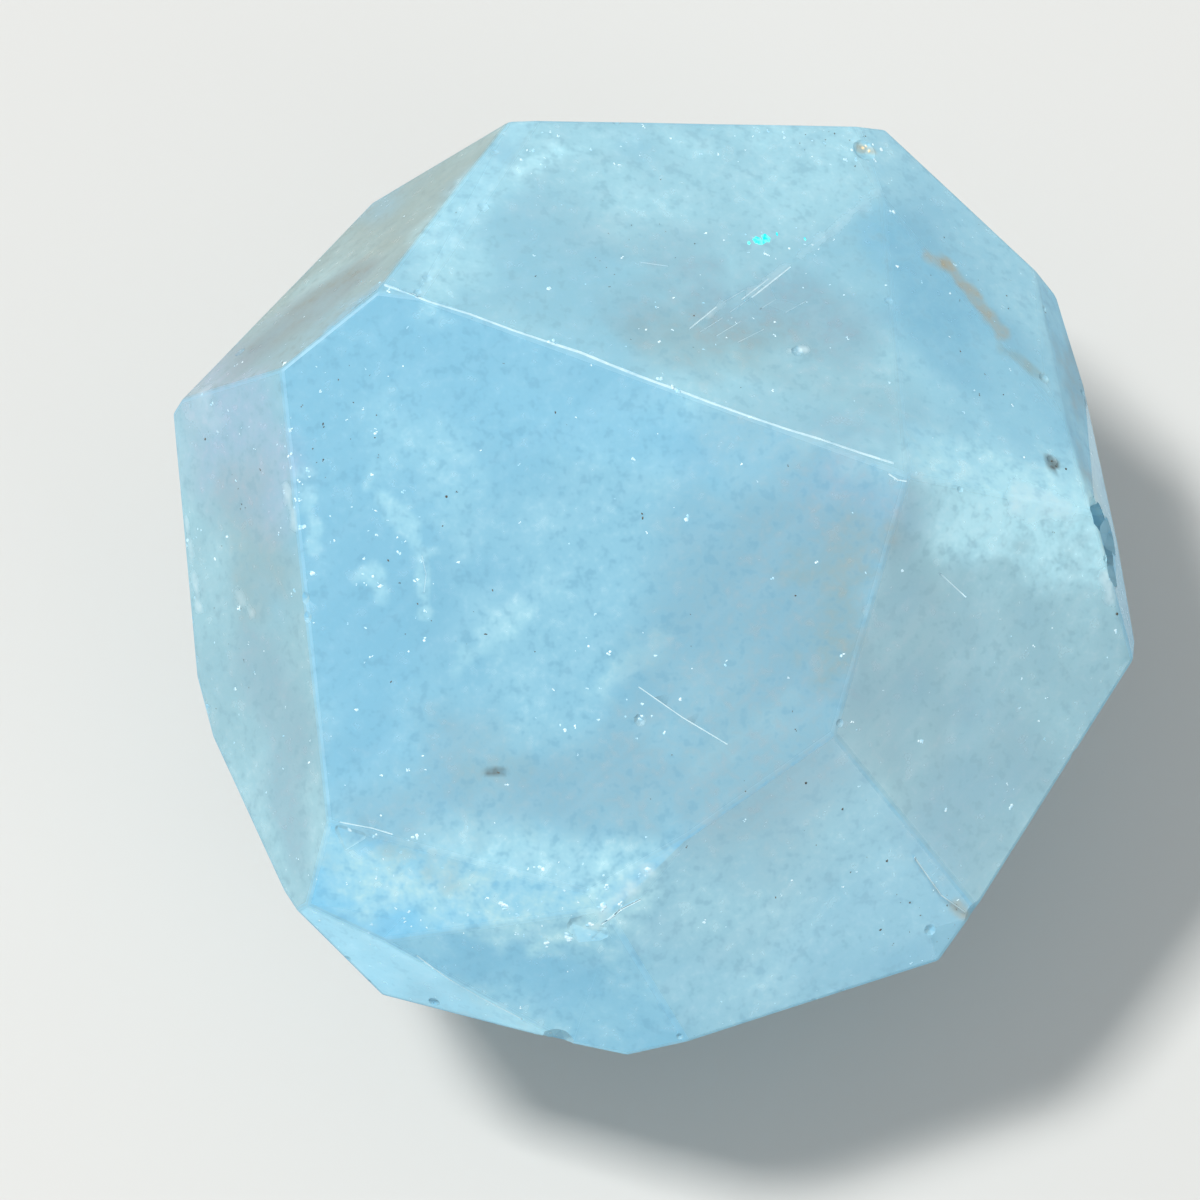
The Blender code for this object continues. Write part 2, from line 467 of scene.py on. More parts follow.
# Path, width, softness, strength and raggedness of each mark
MARKS = tuple(Mark(stain, *row) for stain, rows in {
    Stain.DEEP: (
        (((930, 270), (1010, 400)), 0.8, 2.6, 0.5, 1.5),
        (((330, 326), (376, 288)), 0.05, 0.3, 0.5, 0.3),
        (((420, 780), (560, 800)), 0.4, 2.6, 0.3, 1.5),
        (((560, 960), (470, 940)), 0.1, 1.0, 0.2, 1.0),
    ),
    Stain.VEIL: (
        (((560, 650), (610, 560)), 0.6, 3.4, 0.2, 2.0),
        (((370, 420), (540, 400)), 1.0, 3.2, 0.08, 2.0),
        (((985, 508), (1085, 512)), 0.6, 1.9, 1.0, 1.2),
        (((700, 960), (890, 850)), 0.6, 3.0, 0.22, 2.0),
        (((826, 440), (900, 468)), 0.1, 1.0, 0.4, 1.4),
        (((700, 405), (830, 450)), 0.1, 1.4, 0.25, 1.2),
        (((350, 870), (470, 885), (590, 920)), 0.9, 0.9, 0.5, 1.4),
        (((596, 918), (655, 866)), 0.3, 0.5, 0.4, 0.6),
        (((484, 180), (436, 262)), 0.5, 1.0, 0.4, 0.8),
        (((885, 610), (930, 680), (915, 745)), 0.05, 0.9, 0.3, 1.0),
        (((1000, 620), (965, 745)), 0.05, 1.1, 0.25, 1.2),
        (((396, 420), (440, 520)), 0.1, 1.3, 0.22, 1.6),
        (((560, 210), (640, 190)), 0.1, 1.6, 0.25, 1.8),
        (((800, 200), (880, 180)), 0.1, 1.4, 0.25, 1.4),
        (((530, 135), (860, 138)), 0.1, 0.7, 0.35, 1.0),
        (((420, 960), (560, 1030)), 0.2, 0.9, 0.3, 1.0),
        (((800, 440), (880, 447)), 0.0, 0.4, 0.4, 0.6),
        (((830, 472), (905, 462)), 0.0, 0.4, 0.4, 0.6),
        (((985, 502), (1042, 486)), 0.02, 0.45, 0.6, 0.7),
        (((1000, 542), (1072, 530)), 0.02, 0.45, 0.5, 0.7),
        (((520, 172), (562, 150)), 0.02, 0.36, 0.6, 0.6),
        (((300, 480), (320, 545)), 0.02, 0.3, 0.4, 0.8),
        (((366, 492), (395, 512), (421, 548), (425, 607)), 0.02, 0.28, 0.4, 0.8),
        (((366, 572), (388, 590)), 0.03, 0.3, 0.5, 0.8),
        (((470, 660), (520, 610)), 0.02, 0.5, 0.35, 0.9),
        (((600, 690), (660, 640)), 0.02, 0.5, 0.35, 0.9),
        (((700, 760), (790, 700)), 0.02, 0.5, 0.3, 0.9),
        (((352, 868), (402, 850)), 0.02, 0.45, 0.6, 0.5),
        (((362, 912), (420, 886)), 0.03, 0.5, 0.65, 0.5),
        (((430, 902), (482, 880)), 0.03, 0.5, 0.6, 0.5),
        (((500, 942), (545, 900)), 0.04, 0.45, 0.5, 0.5),
        (((540, 948), (592, 915)), 0.04, 0.42, 0.55, 0.5),
        (((960, 500), (1010, 492)), 0.02, 0.4, 0.5, 0.7),
        (((365, 882), (395, 872)), 0.02, 0.4, 0.6, 0.5),
        (((440, 868), (470, 884)), 0.02, 0.4, 0.5, 0.5),
        (((470, 905), (500, 916)), 0.02, 0.4, 0.6, 0.5),
        (((574, 906), (600, 890)), 0.02, 0.3, 0.7, 0.4),
    ),
    Stain.HAZE_AND_SHADE: (
        # Painted shade on the low part of the upper-left wall
        (((250, 340), (340, 285)), 0.5, 1.0, 0.6, 0.6),
        (((700, 310), (820, 330)), 0.6, 1.9, 0.75, 1.5),
        (((560, 215), (690, 255)), 0.2, 1.4, 0.35, 1.5),
        (((240, 500), (262, 600)), 0.5, 0.9, 0.3, 0.8),
        (((1068, 330), (1092, 480)), 0.25, 0.5, 0.6, 0.5),
        (((820, 510), (755, 740)), 1.0, 4.0, 0.62, 1.6),
        (((430, 785), (610, 795)), 0.6, 2.1, 0.5, 1.6),
        (((945, 680), (980, 760)), 0.8, 2.4, 0.35, 1.6),
        (((262, 660), (300, 840)), 0.7, 1.1, 0.6, 0.8),
    ),
    Stain.LAVENDER: (
        (((205, 390), (250, 470)), 0.8, 1.6, 0.36, 0.8),
        (((850, 490), (870, 540)), 0.2, 1.4, 0.12, 1.0),
    ),
    Stain.OLIVE_AND_SHADE: (
        # Painted shade on the low part of the upper-left wall
        (((255, 335), (335, 285)), 0.2, 0.8, 0.45, 0.6),
        (((236, 490), (262, 600)), 0.4, 0.9, 0.2, 0.8),
        (((862, 552), (822, 632)), 0.2, 1.1, 0.34, 1.4),
        (((680, 330), (740, 350)), 0.2, 1.6, 0.22, 1.4),
        (((380, 250), (300, 320)), 0.2, 0.6, 0.35, 0.8),
        (((470, 775), (520, 770)), 0.05, 0.5, 0.1, 0.9),
        (((1003, 350), (1042, 377)), 0.05, 0.22, 0.4, 0.4),
    ),
    Stain.IRON: (
        (((930, 256), (951, 266)), 0.12, 0.26, 0.34, 0.4),
        (((950, 266), (977, 300), (1003, 336)), 0.13, 0.26, 0.44, 0.4),
        (((958, 903), (967, 914)), 0.06, 0.2, 0.4, 0.3),
        (((861, 149), (871, 150)), 0.05, 0.15, 0.45, 0.2),
    ),
    Stain.FROST_AND_HIGHLIGHT: (
        # Painted highlight: a cyan-white patch of light on the right low wall, laid down as a white break
        (((1108, 575), (1112, 596)), 0.06, 0.22, 0.6, 0.3),
        (((186, 395), (196, 430)), 0.15, 0.5, 0.2, 0.5),
        (((690, 327), (722, 303)), 0.0, 0.1, 0.3, 0.3),
        (((744, 298), (790, 264)), 0.0, 0.12, 0.2, 0.3),
        (((800, 256), (880, 190)), 0.0, 0.2, 0.16, 0.5),
        (((1018, 496), (1062, 508)), 0.04, 0.55, 0.35, 0.6),
        (((790, 352), (802, 350)), 0.0, 0.12, 0.6, 0.3),
        (((606, 912), (648, 872)), 0.02, 0.25, 0.4, 0.5),
        (((285, 486), (296, 528)), 0.0, 0.16, 0.4, 0.5),
        (((237, 592), (252, 614)), 0.0, 0.13, 0.3, 0.3),
        (((186, 520), (198, 606)), 0.0, 0.14, 0.4, 0.5),
    ),
    Stain.DIRT_AND_SHADE: (
        # Painted shade on the low part of the upper-left wall, not dirt
        (((250, 345), (335, 290)), 0.3, 1.1, 0.36, 0.6),
        (((1046, 460), (1060, 466)), 0.04, 0.14, 0.66, 0.5),
        (((1054, 468), (1062, 484)), 0.02, 0.1, 0.6, 0.2),
        (((915, 858), (941, 895), (965, 912)), 0.02, 0.06, 0.3, 0.1),
        (((488, 774), (504, 772)), 0.02, 0.09, 0.6, 0.4),
    ),
}.items() for row in rows)


@dataclass(frozen=True)
class Hairline:
    """A scratch, a crack or a worn line: a groove along a path of pixels, half-width in millimetres."""

    path: tuple[Pixel, ...]
    width: float

    def is_scratch(self) -> bool:
        """Tell whether the line is too thin to look white."""
        return self.width < SCRATCH_WIDTH


HAIRLINES = (
    Hairline(((385, 285), (428, 301), (470, 314), (510, 329), (552, 343)), 0.034),
    Hairline(((552, 343), (580, 352), (612, 365), (645, 378), (673, 388)), 0.046),
    Hairline(((673, 388), (712, 403), (751, 417), (790, 430), (820, 439)), 0.042),
    Hairline(((820, 439), (858, 452), (893, 463)), 0.034),
    Hairline(((889, 474), (898, 480), (906, 481)), 0.018),
    Hairline(((690, 328), (706, 315), (716, 307)), 0.018),
    Hairline(((722, 303), (744, 290)), 0.01),
    Hairline(((742, 299), (768, 279)), 0.014),
    Hairline(((752, 297), (790, 267)), 0.02),
    Hairline(((812, 246), (842, 222)), 0.01),
    Hairline(((700, 332), (722, 318)), 0.008),
    Hairline(((730, 312), (752, 297)), 0.007),
    Hairline(((716, 336), (741, 321)), 0.008),
    Hairline(((760, 309), (776, 299)), 0.007),
    Hairline(((738, 342), (764, 329)), 0.007),
    Hairline(((786, 312), (806, 301)), 0.007),
    Hairline(((640, 262), (668, 266)), 0.007),
    Hairline(((639, 687), (682, 717), (727, 744)), 0.013),
    Hairline(((940, 573), (966, 597)), 0.016),
    Hairline(((422, 556), (426, 574), (424, 592)), 0.012),
    Hairline(((417, 956), (450, 980), (481, 998), (520, 1018), (557, 1036)), 0.016),
    Hairline(((602, 924), (620, 910), (640, 900)), 0.026),
    Hairline(((340, 822), (372, 828), (392, 834)), 0.016),
    Hairline(((915, 858), (941, 895), (965, 912)), 0.014),
    Hairline(((352, 308), (375, 290)), 0.014),
)


# The clouds, stains and breaks masks also carry painted shade on the upper-left wall, and the breaks mask a
# painted highlight
MASKS = {
    "clouds": (Stain.DEEP, Stain.VEIL, Stain.HAZE_AND_SHADE),
    "stains": (Stain.LAVENDER, Stain.OLIVE_AND_SHADE, Stain.IRON),
    "breaks": (Stain.FROST_AND_HIGHLIGHT, Stain.DIRT_AND_SHADE),
}

# The grain of the beryl shows over the stains before this one, and under it and those after it
FIRST_BREAK = Stain.IRON


@dataclass(frozen=True)
class PaintedFacetLight:
    """Painted light and shade of one facet, as light falls on it: brighter than 1 is lighter, warmer than 0
    is less blue.
    """

    name: str
    pixel: Pixel
    light: float = 1.0
    warmth: float = 0.0

    def tint(self) -> Vector:
        """Return the painted light and shade that the beryl's colour is multiplied by."""
        return Vector((1 + self.warmth, 1.0, 1 - COOLING * self.warmth)) * self.light


# Painted light and shade, facet by facet: each facet lighter or darker, warmer or bluer, as light falls on it
PAINTED_FACET_LIGHTS = (
    PaintedFacetLight("table", (600, 620), 0.9, -0.09),
    PaintedFacetLight("top", (620, 220), 1.0, 0.14),
    PaintedFacetLight("upper_right", (950, 300), 1.12, 0.06),
    PaintedFacetLight("right", (960, 650), 0.83, -0.13),
    PaintedFacetLight("lower_right", (880, 830), 0.95, 0.02),
    PaintedFacetLight("sliver", (630, 890), 1.03, -0.36),
    PaintedFacetLight("bottom", (620, 990), 0.99, -0.08),
    PaintedFacetLight("lower_left", (450, 890), 1.08, -0.26),
    PaintedFacetLight("bottom_left_corner", (410, 975), 1.7, 0.02),
    PaintedFacetLight("left", (250, 600), 0.91, 0.16),
    PaintedFacetLight("upper_left_wall", (350, 250), 0.64, 0.42),
    PaintedFacetLight("right_wall_high", (1085, 400), 1.34, -0.12),
    PaintedFacetLight("right_wall_low", (1122, 630), 1.04, 0.42),
)


# The beryl


@dataclass(frozen=True)
class BerylFinish:
    """Softly polished, milky pale blue beryl, stained where the stone's masks say so, some stains being
    painted highlight and painted shade, and multiplied by painted light and shade per facet.

    Milk and shade are what milky and clear grain multiply the colour by. Each grows to its full
    share over a span of the noise. Sizes are in millimetres.
    """

    body: Colour = srgb(153, 212, 234)
    milk: Colour = (1.25, 1.1, 1.07)
    shade: Colour = (0.76, 0.8, 0.83)
    stains: dict[Stain, Colour] = field(default_factory=lambda: {
        Stain.DEEP: srgb(126, 192, 220),
        Stain.VEIL: srgb(192, 244, 255),
        Stain.HAZE_AND_SHADE: srgb(148, 187, 202),
        Stain.LAVENDER: srgb(180, 196, 220),
        Stain.OLIVE_AND_SHADE: srgb(155, 174, 164),
        Stain.IRON: srgb(190, 170, 126),
        Stain.FROST_AND_HIGHLIGHT: srgb(222, 249, 255),
        Stain.DIRT_AND_SHADE: srgb(92, 98, 94),
    })
    refraction: float = 1.57
    transmission: float = 0.28
    absorption: Colour = srgb(176, 226, 240)
    absorption_density: float = 18.0
    streak_turn: tuple[float, float, float] = (0.0, -0.222, 0.667)
    streak_stretch: tuple[float, float, float] = (3.6, 0.6, 0.6)
    streak_size: float = 0.8
    streak_span: tuple[float, float] = (0.42, 0.75)
    streak_share: float = 0.32
    grain_size: float = 0.4
    milk_span: tuple[float, float] = (0.02, 0.2)
    milk_share: float = 0.46
    shade_span: tuple[float, float] = (-0.03, -0.2)
    shade_share: float = 0.5
    polish: float = 0.26
    grain_roughness: float = 0.08
    frost_roughness: float = 0.25
    worn_roughness: float = 0.3
    worn_span: tuple[float, float] = (0.0, 0.008)

    def masks(self, graph: Graph) -> dict[Stain, bpy.types.NodeSocket]:
        """Read how much of each stain there is from the skin's masks.

        Args:
            graph: The material's graph.

        Returns:
            The amount of each stain.
        """
        amounts = {}
        for attribute, stains in MASKS.items():
            mask = graph.node("ShaderNodeAttribute", attribute_name=attribute)
            parts = graph.node("ShaderNodeSeparateColor")
            graph.feed(parts.inputs[0], mask.outputs["Color"])
            amounts.update(zip(stains, parts.outputs))
        return amounts

    def build(self, groups: Groups) -> bpy.types.Material:
        """Make the beryl's material.

        Args:
            groups: The shared node groups.

        Returns:
            The material.
        """
        material = bpy.data.materials.new("beryl")
        material.use_nodes = True
        graph = Graph(material.node_tree)
        shader = graph.tree.nodes["Principled BSDF"]
        shader.inputs["IOR"].default_value = self.refraction
        shader.inputs["Transmission Weight"].default_value = self.transmission

        place = graph.scaled(graph.node("ShaderNodeTexCoord").outputs["Object"], 1 / MM)
        grain = graph.math("SUBTRACT", graph.noise(place, self.grain_size, detail=2.0, roughness=0.7), 0.5)
        turned = graph.node("ShaderNodeMapping", vector_type="TEXTURE")
        graph.feed(turned.inputs["Vector"], place)
        turned.inputs["Rotation"].default_value = self.streak_turn
        turned.inputs["Scale"].default_value = self.streak_stretch
        streaks = graph.noise(turned.outputs[0], self.streak_size, detail=1.0, roughness=0.65)

        painted_facet_light = graph.node("ShaderNodeAttribute", attribute_name="painted_facet_light").outputs["Color"]
        wear = graph.node("ShaderNodeAttribute", attribute_name="wear").outputs["Fac"]
        amounts = self.masks(graph)
        amounts[Stain.FROST_AND_HIGHLIGHT] = graph.math("MAXIMUM", amounts[Stain.FROST_AND_HIGHLIGHT], wear)
        # The body colour is multiplied by the painted light and shade of its facet
        colour = graph.mix(1.0, self.body, painted_facet_light, "MULTIPLY")
        for stain in Stain:
            if stain is FIRST_BREAK:
                for noise_value, reach, share, tint in (
                    (streaks, self.streak_span, self.streak_share, self.milk),
                    (grain, self.milk_span, self.milk_share, self.milk),
                    (grain, self.shade_span, self.shade_share, self.shade),
                ):
                    amount = graph.math("MULTIPLY", graph.span(noise_value, *reach), share)
                    colour = graph.mix(amount, colour, tint, "MULTIPLY")
            colour = groups.place(graph, GroupKind.STAIN, colour=colour, stain=self.stains[stain],
                                  amount=amounts[stain], grain=grain)
        graph.feed(shader.inputs["Base Color"], colour)

        rough = graph.math("MULTIPLY_ADD", grain, self.grain_roughness, self.polish)
        rough = graph.math("MULTIPLY_ADD", amounts[Stain.FROST_AND_HIGHLIGHT], self.frost_roughness, rough)
        worn = graph.span(wear, *self.worn_span)
        rough = graph.math("MULTIPLY_ADD", worn, self.worn_roughness, rough, clamp=True)
        graph.feed(shader.inputs["Roughness"], rough)

        absorb = graph.node("ShaderNodeVolumeAbsorption")
        absorb.inputs["Color"].default_value = (*self.absorption, 1.0)
        absorb.inputs["Density"].default_value = self.absorption_density
        output = graph.tree.nodes["Material Output"]
        graph.feed(output.inputs["Volume"], absorb.outputs["Volume"])
        return material


@dataclass(frozen=True)
class GrainFinish:
    """The finish of the loose grains and specks that sit in the stone's pits."""

    name: str
    first: Colour
    second: Colour
    patch: float = 0.08
    roughness: float = 0.35
    painted_glow: float = 0.0

    def build(self, groups: Groups) -> bpy.types.Material:
        """Make the material.

        Args:
            groups: The shared node groups.

        Returns:
            The material.
        """
        material = bpy.data.materials.new(self.name)
        material.use_nodes = True
        graph = Graph(material.node_tree)
        shader = graph.tree.nodes["Principled BSDF"]
        place = graph.scaled(graph.node("ShaderNodeTexCoord").outputs["Object"], 1 / MM)
        colour = groups.place(graph, GroupKind.MOTTLE, position=place, size=self.patch, first=self.first,
                              second=self.second)
        graph.feed(shader.inputs["Base Color"], colour)
        graph.feed(shader.inputs["Roughness"], self.roughness)
        # Painted light: the grains glow in their own colour, as if lit from within
        if self.painted_glow:
            graph.feed(shader.inputs["Emission Color"], colour)
            shader.inputs["Emission Strength"].default_value = self.painted_glow
        return material


# The stone


class Cut(Enum):
    """What left a face behind."""

    LAP = 0
    NICK = 1
    GROOVE = 2
    SCRATCH = 3


@dataclass
class Nicks:
    """Small shell-shaped breaks along the edges, and wider ones, in millimetres, on the crackled facet."""

    seed: int = 11
    count: int = 118
    spread: tuple[float, float] = (0.1 * MM, 0.32 * MM)
    bite: tuple[float, float] = (0.02 * MM, 0.07 * MM)
    rounds: int = 2
    clear_of_floor: float = 0.6 * MM
    edge_length: float = 0.8 * MM
    edge_angle: float = 4.0
    crackles: int = 26
    crackled: tuple[float, float, float, float] = (350.0, 858.0, 610.0, 945.0)
    crackle_spread: tuple[float, float] = (0.5, 1.1)
    crackle_bite: tuple[float, float] = (0.015, 0.035)
    pits: tuple[Pixel, ...] = (
        (1044, 378), (1052, 460), (797, 351), (240, 352), (434, 1002), (640, 720), (930, 930),
    )
    pit_spread: float = 0.22 * MM
    pit_bite: float = 0.08 * MM
    overlap: float = 0.7

    def spots(self, stone: bmesh.types.BMesh, sight: Sight) -> list[tuple[Vector, Vector, float, float]]:
        """Choose where the breaks are.

        Args:
            stone: The whole stone.
            sight: Finds the places seen in the photograph.

        Returns:
            Place, outward direction, ball radius and depth of each break.
        """
        rng = random.Random(self.seed)
        found: list[tuple[Vector, Vector, float, float]] = []
        left, top, right, bottom = self.crackled
        for _ in range(self.crackles):
            place, normal = sight.hit((rng.uniform(left, right), rng.uniform(top, bottom)))
            spread = rng.uniform(*self.crackle_spread) * MM
            bite = rng.uniform(*self.crackle_bite) * MM
            found.append((place, normal, spread, bite))
        for pixel in self.pits:
            place, normal = sight.hit(pixel)
            found.append((place, normal, self.pit_spread, self.pit_bite))
        edges = [edge for edge in stone.edges if edge.calc_length() > self.edge_length
                 and edge.calc_face_angle(0.0) > math.radians(self.edge_angle)]
        weights = [edge.calc_length() for edge in edges]
        while len(found) < self.count:
            edge = rng.choices(edges, weights)[0]
            place = edge.verts[0].co.lerp(edge.verts[1].co, rng.random())
            normal = (edge.link_faces[0].normal + edge.link_faces[1].normal).normalized()
            spread = rng.uniform(*self.spread)
            bite = rng.uniform(*self.bite)
            if place.z < self.clear_of_floor:
                continue
            if all((place - other[0]).length > spread + other[2] * self.overlap for other in found):
                found.append((place, normal, spread, bite))
        return found

    def balls(self, stone: bmesh.types.BMesh, sight: Sight) -> bmesh.types.BMesh:
        """Make the balls that break the nicks out.

        Args:
            stone: The whole stone.
            sight: Finds the places seen in the photograph.

        Returns:
            The balls.
        """
        balls = bmesh.new()
        for place, normal, spread, bite in self.spots(stone, sight):
            middle = Matrix.Translation(place + normal * (spread - bite))
            bmesh.ops.create_icosphere(balls, subdivisions=self.rounds, radius=spread, matrix=middle)
        for face in balls.faces:
            face.material_index = Cut.NICK.value
        return balls


def groove_bars(sight: Sight) -> bmesh.types.BMesh:
    """Return the thin bars that cut the hairlines, laid along the surface.

    Args:
        sight: Finds the hairlines' places.

    Returns:
        The bars.
    """
    bars = bmesh.new()
    for line in HAIRLINES:
        width = line.width * MM
        points = []
        for pixel in line.path:
            place, normal = sight.hit(pixel)
            points.append(place + normal * width * GROOVE_RISE)
        for start, end in zip(points, points[1:]):
            along = end - start
            turn = along.to_track_quat("Z", "Y").to_matrix().to_4x4()
            middle = Matrix.Translation((start + end) / 2)
            bmesh.ops.create_cone(bars, cap_ends=True, segments=GROOVE_SIDES, radius1=width, radius2=width,
                                  depth=along.length + width, matrix=middle @ turn)
        kind = Cut.SCRATCH if line.is_scratch() else Cut.GROOVE
        for face in bars.faces:
            if face.material_index == Cut.LAP.value:
                face.material_index = kind.value
    return bars


def subtract(stone: bmesh.types.BMesh, cutter: bmesh.types.BMesh) -> bmesh.types.BMesh:
    """Cut one mesh out of another, and use both up.

    Args:
        stone: What is cut.
        cutter: What is taken away. Its faces' material numbers stay on the faces it leaves.

    Returns:
        The cut mesh.
    """
    pieces = []
    for name, mesh in (("whole_stone", stone), ("cutters", cutter)):
        data = bpy.data.meshes.new(name)
        mesh.to_mesh(data)
        mesh.free()
        for _ in Cut:
            data.materials.append(None)
        piece = bpy.data.objects.new(name, data)
        bpy.context.scene.collection.objects.link(piece)
        pieces.append(piece)
    whole, bar = pieces
    cut = whole.modifiers.new("cut", "BOOLEAN")
    cut.operation = "DIFFERENCE"
    cut.solver = "EXACT"
    cut.use_self = True
    cut.object = bar
    cut_data = bpy.data.meshes.new_from_object(whole.evaluated_get(bpy.context.evaluated_depsgraph_get()))
    result = bmesh.new()
    result.from_mesh(cut_data)
    bpy.data.meshes.remove(cut_data)
    for piece in pieces:
        bpy.data.meshes.remove(piece.data)
    result.normal_update()
    return result


@dataclass
class Stone:
    """The skin of the stone, as fine as the eye can follow.

    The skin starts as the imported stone, merged back into flat facets, nicked and scratched. It is
    sliced into small cells, and the cells sink a little, unevenly, as a hand lap leaves them.
    Sizes of the painted clouds are in millimetres, and deepening and veiling are the gain and
    the most of the large clouds' two stains.
    """

    view: PhotoView
    nicks: Nicks = field(default_factory=Nicks)
    cell: float = 0.42 * MM
    waver: float = 0.02 * MM
    waver_size: float = 3.0 * MM
    merge: float = 0.001 * MM
    snap: float = 0.005 * MM
    flat_angle: float = 0.4
    sharp_angle: float = 7.0
    fine_cuts: int = 3
    fine_reach: float = 0.25
    strip_width: float = 0.35 * MM
    wear: dict[Cut, float] = field(default_factory=lambda: {
        Cut.LAP: 0.01, Cut.NICK: 0.06, Cut.GROOVE: 0.85, Cut.SCRATCH: 0.4,
    })
    strip_shade: float = 0.95
    plain_weight: float = 0.0008
    wander_seed: int = 7
    wander_size: float = 2.2
    fine_wander: float = 0.08
    loose_wander: float = 1.3
    grain_size: float = 0.45
    cloud_size: float = 4.5
    cloud_detail: float = 3.3
    cloud_detail_share: float = 0.6
    deepening: tuple[float, float] = (0.6, 0.3)
    veiling: tuple[float, float] = (0.4, 0.25)
    name: str = "aquamarine_skin"

    def merged(self) -> bmesh.types.BMesh:
        """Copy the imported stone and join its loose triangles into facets.

        Returns:
            The stone's mesh.
        """
        skin = bmesh.new()
        skin.from_mesh(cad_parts[STONE_NODE].data)
        bmesh.ops.remove_doubles(skin, verts=skin.verts[:], dist=self.merge)
        bmesh.ops.dissolve_limit(skin, angle_limit=math.radians(self.flat_angle), verts=skin.verts[:],
                                 edges=skin.edges[:], use_dissolve_boundaries=False)
        skin.normal_update()
        return skin

    def slice(self, skin: bmesh.types.BMesh) -> None:
        """Cut the facets into small cells by planes across X, Y and Z.

        Args:
            skin: The mesh that is cut.
        """
        low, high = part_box(STONE_NODE)
        for axis in range(3):
            across = Vector((0.0, 0.0, 0.0))
            across[axis] = 1.0
            count = int((high[axis] - low[axis]) / self.cell)
            for step in range(1, count + 1):
                place = Vector(low)
                place[axis] = low[axis] + step * self.cell
                whole = skin.verts[:] + skin.edges[:] + skin.faces[:]
                bmesh.ops.bisect_plane(skin, geom=whole, dist=self.snap, plane_co=place, plane_no=across)

    def lap(self, skin: bmesh.types.BMesh) -> None:
        """Sink the surface a little and unevenly, but not where the stone rests.

        Args:
            skin: The mesh that is lapped.
        """
        skin.normal_update()
        for vert in skin.verts:
            if vert.co.z < self.waver:
                continue
            sink = 0.5 + 0.5 * noise.noise(vert.co / self.waver_size)
            vert.co -= vert.normal * self.waver * sink

    def note_wear(self, skin: bmesh.types.BMesh) -> None:
        """Note how white each face is: worn strips least, then nicks and scratches, grooves most.

        Args:
            skin: The mesh that is noted on.
        """
        wear = skin.faces.layers.float.new("wear")
        for face in skin.faces:
            kind = Cut(face.material_index)
            face.material_index = 0
            width = 2 * face.calc_area() / max(face.calc_perimeter(), 1e-9)
            if kind is not Cut.LAP or width < self.strip_width:
                face[wear] = self.wear[kind]

    def refine(self, skin: bmesh.types.BMesh, sight: Sight) -> None:
        """Cut the cells near the fine marks smaller.

        Args:
            skin: The mesh that is cut.
            sight: Finds the marks.
        """
        lines = []
        for mark in MARKS:
            if mark.is_fine():
                points = [sight.hit(pixel)[0] for pixel in mark.path]
                reach = (mark.width + mark.soft + self.fine_reach) * MM
                lines.extend((start, end, reach) for start, end in zip(points, points[1:]))
        chosen = []
        for face in skin.faces:
            middle = face.calc_center_median()
            for start, end, reach in lines:
                along = end - start
                share = min(max((middle - start).dot(along) / max(along.length_squared, 1e-12), 0.0), 1.0)
                if (middle - start - along * share).length < reach:
                    chosen.append(face)
                    break
        cut = bmesh.ops.triangulate(skin, faces=chosen)
        edges = list({edge for face in cut["faces"] for edge in face.edges})
        bmesh.ops.subdivide_edges(skin, edges=edges, cuts=self.fine_cuts, use_grid_fill=True)

    def tint(self, skin: bmesh.types.BMesh, sight: Sight) -> None:
        """Note the painted light and shade of each face's facet, and painted shade on worn edge strips.

        Args:
            skin: The mesh that is noted on.
            sight: Finds the facets.
        """
        painted_facet_light = skin.loops.layers.float_color.new("painted_facet_light")
        wear = skin.faces.layers.float["wear"]
        facets = [(sight.hit(facet.pixel)[1], facet.tint()) for facet in PAINTED_FACET_LIGHTS]
        plain = Vector((1.0, 1.0, 1.0))
        for face in skin.faces:
            total = plain * self.plain_weight
            weight = self.plain_weight
            for normal, tint in facets:
                near = 1 / (math.degrees(face.normal.angle(normal, 0.0)) ** 2 + 1)
                total = total + tint * near
                weight += near
            mixed = total / weight
            # Worn edge strips get painted shade, against the light their bevels catch
            if 0.0 < face[wear] < self.wear[Cut.NICK]:
                mixed = mixed * self.strip_shade
            for loop in face.loops:
                loop[painted_facet_light] = (*mixed, 1.0)

    def paint(self, data: bpy.types.Mesh, sight: Sight) -> None:
        """Work the marks out at each point of the mesh and keep them as masks.

        Args:
            data: The skin's mesh.
            sight: Finds the marks.
        """
        places = np.empty(len(data.vertices) * 3)
        data.vertices.foreach_get("co", places)
        places = places.reshape(-1, 3) / MM
        noise.seed_set(self.wander_seed)
        wander = np.array([noise.noise_vector(Vector(place) / self.wander_size) for place in places])
        grain = np.array([noise.noise(Vector(place) / self.grain_size) for place in places])
        cloud = np.array([noise.noise(Vector(place) / self.cloud_size) for place in places])
        wisps = [noise.noise(Vector(place) / self.cloud_size * self.cloud_detail) for place in places]
        cloud += self.cloud_detail_share * np.array(wisps)
        amounts = {stain: np.zeros(len(places)) for stain in Stain}
        amounts[Stain.DEEP] += np.clip(-cloud * self.deepening[0], 0.0, self.deepening[1])
        amounts[Stain.VEIL] += np.clip(cloud * self.veiling[0], 0.0, self.veiling[1])
        for mark in MARKS:
            points = [np.array(sight.hit(pixel)[0]) / MM for pixel in mark.path]
            moved = places + wander * (self.fine_wander if mark.is_fine() else self.loose_wander)
            away = np.full(len(places), np.inf)
            for start, end in zip(points, points[1:]):
                along = end - start
                share = np.clip((moved - start) @ along / max(along @ along, 1e-6), 0.0, 1.0)
                away = np.minimum(away, np.linalg.norm(moved - start - share[:, None] * along, axis=1))
            rim = np.clip(1.0 - (away + grain * mark.ragged * 0.5 - mark.width) / mark.soft, 0.0, 1.0)
            amount = rim * rim * (3.0 - 2.0 * rim) * mark.strength
